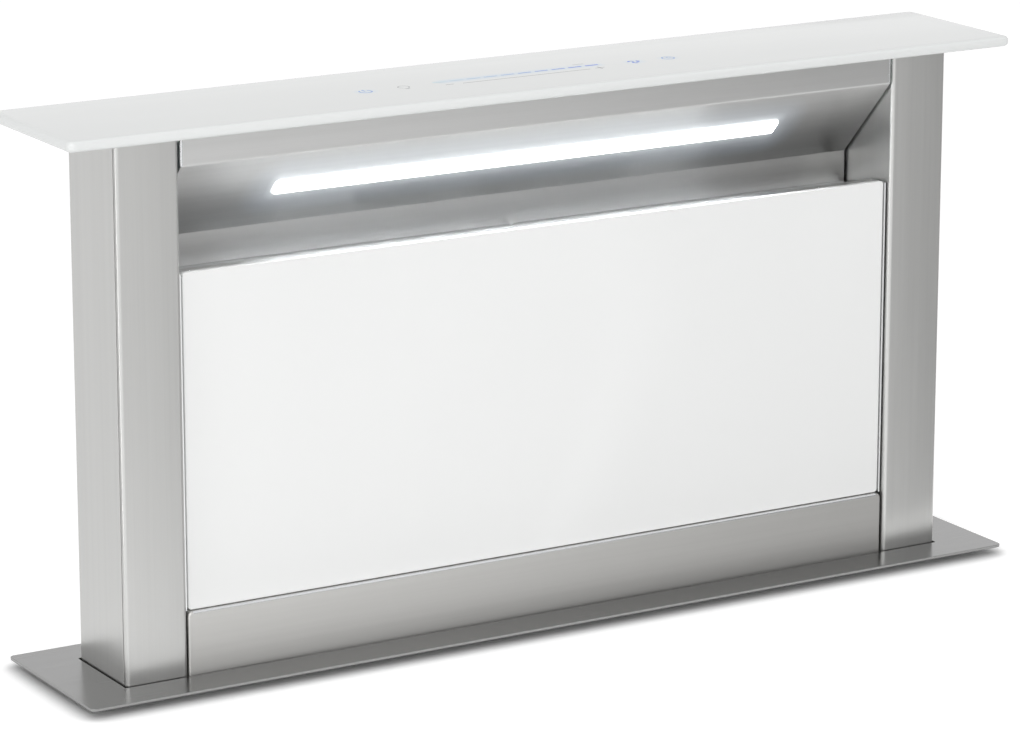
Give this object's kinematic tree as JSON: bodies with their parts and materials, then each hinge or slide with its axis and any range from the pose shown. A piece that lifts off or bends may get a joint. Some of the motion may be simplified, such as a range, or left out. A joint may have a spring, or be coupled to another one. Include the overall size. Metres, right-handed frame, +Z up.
{
  "type": "downdraft vent",
  "caption": "Pop-up worktop downdraft vent with a lit intake, glass front, sliding tower, under-counter blower and round outlet with non-return flaps.",
  "frame": {"origin": "middle of the worktop cut-out, at the height of the worktop's top face, under the middle of the tower", "axes": "+X to the right as the cook sees it, +Y away from the cook, +Z up along the tower's travel"},
  "size_m": [0.6144, 0.2559, 1.006],
  "materials": {
    "steel_brushed": "vertical brushing, satin",
    "steel_inner": "brushed along its length, a little bluer and brighter",
    "glass_white": "opaque white tempered glass, polished edges",
    "lamp_white": "frosted light bar, glowing",
    "steel_zinc": "zinc-coated sheet steel",
    "aluminium": "satin",
    "steel_polished": "ground and polished steel",
    "plastic_dark": "moulded, fine grain",
    "plastic_grey": "moulded, fine grain",
    "rubber_black": "extruded rubber",
    "board_green": "circuit board",
    "motor_black": "black paint on a cast can"
  },
  "bodies": {
    "housing": {"rail_outer_left": "steel_zinc", "rail_outer_right": "steel_zinc", "actuator_tube": "aluminium", "actuator_gearbox": "plastic_dark", "actuator_motor": "motor_black", "actuator_bracket": "steel_zinc", "base_pin": "steel_polished", "worktop_flange": "steel_brushed", "wiper_seal": "rubber_black", "housing_front": "steel_zinc", "housing_back": "steel_zinc", "housing_left": "steel_zinc", "housing_right": "steel_zinc", "housing_base": "steel_zinc", "clamp_left": "steel_zinc", "clamp_right": "steel_zinc", "foot_left": "steel_zinc", "foot_right": "steel_zinc", "blower_box": "steel_zinc", "blower_cover": "steel_zinc", "scroll_housing": "steel_zinc", "scroll_back": "steel_zinc", "inlet_ring": "aluminium", "blower_motor": "motor_black", "motor_bracket": "steel_zinc", "outlet_collar": "plastic_grey", "flap_pin": "steel_polished", "control_box": "plastic_dark", "control_lid": "plastic_dark", "cable_gland": "plastic_dark", "control_board": "board_green"},
    "tower": {"cap_glass": "glass_white", "cap_tray": "steel_inner", "touch_board": "board_green", "column_left": "steel_brushed", "column_right": "steel_brushed", "lamp_panel": "steel_inner", "led_diffuser": "lamp_white", "led_board": "board_green", "tower_back_panel": "steel_brushed", "front_glass": "glass_white", "glass_carrier": "steel_polished", "glass_catch_left": "plastic_dark", "glass_catch_right": "plastic_dark", "lower_front_panel": "steel_brushed", "filter_frame_left": "aluminium", "filter_frame_right": "aluminium", "filter_mesh_left": "aluminium", "filter_mesh_right": "aluminium", "lift_crossbar": "steel_zinc", "rod_pin": "steel_polished", "actuator_rod": "steel_polished", "tail_tie": "steel_zinc", "rail_inner_left": "steel_zinc", "rail_inner_right": "steel_zinc"},
    "rail_middle_left": {"rail_middle_left": "steel_zinc"},
    "rail_middle_right": {"rail_middle_right": "steel_zinc"},
    "impeller": {"impeller": "aluminium"},
    "flap_front": {"flap_front": "plastic_grey"},
    "flap_rear": {"flap_rear": "plastic_grey"}
  },
  "joints": [
    {"name": "lift", "type": "slide", "parent": "housing", "child": "tower", "axis": [0, 0, 1], "range_m": [-0.2975, 0]},
    {"name": "slide_left", "type": "slide", "parent": "housing", "child": "rail_middle_left", "axis": [0, 0, 1], "range_m": [-0.14875, 0]},
    {"name": "slide_right", "type": "slide", "parent": "housing", "child": "rail_middle_right", "axis": [0, 0, 1], "range_m": [-0.14875, 0]},
    {"name": "impeller_spin", "type": "hinge", "parent": "housing", "child": "impeller", "pos_m": [0.105, -0.09, -0.55897], "axis": [0, 1, 0], "continuous": true},
    {"name": "flap_front_hinge", "type": "hinge", "parent": "housing", "child": "flap_front", "pos_m": [0.2817, -0.1186, -0.4737], "axis": [0, 0, 1], "range_deg": [0, 80], "stiffness_Nm_per_rad": 0.004, "springref_deg": -9.74},
    {"name": "flap_rear_hinge", "type": "hinge", "parent": "housing", "child": "flap_rear", "pos_m": [0.2817, -0.1186, -0.4737], "axis": [0, 0, -1], "range_deg": [0, 80], "stiffness_Nm_per_rad": 0.004, "springref_deg": -9.74}
  ],
  "couplings": [
    {"joint": "slide_left", "follows": "lift", "ratio": 0.5},
    {"joint": "slide_right", "follows": "lift", "ratio": 0.5}
  ]
}
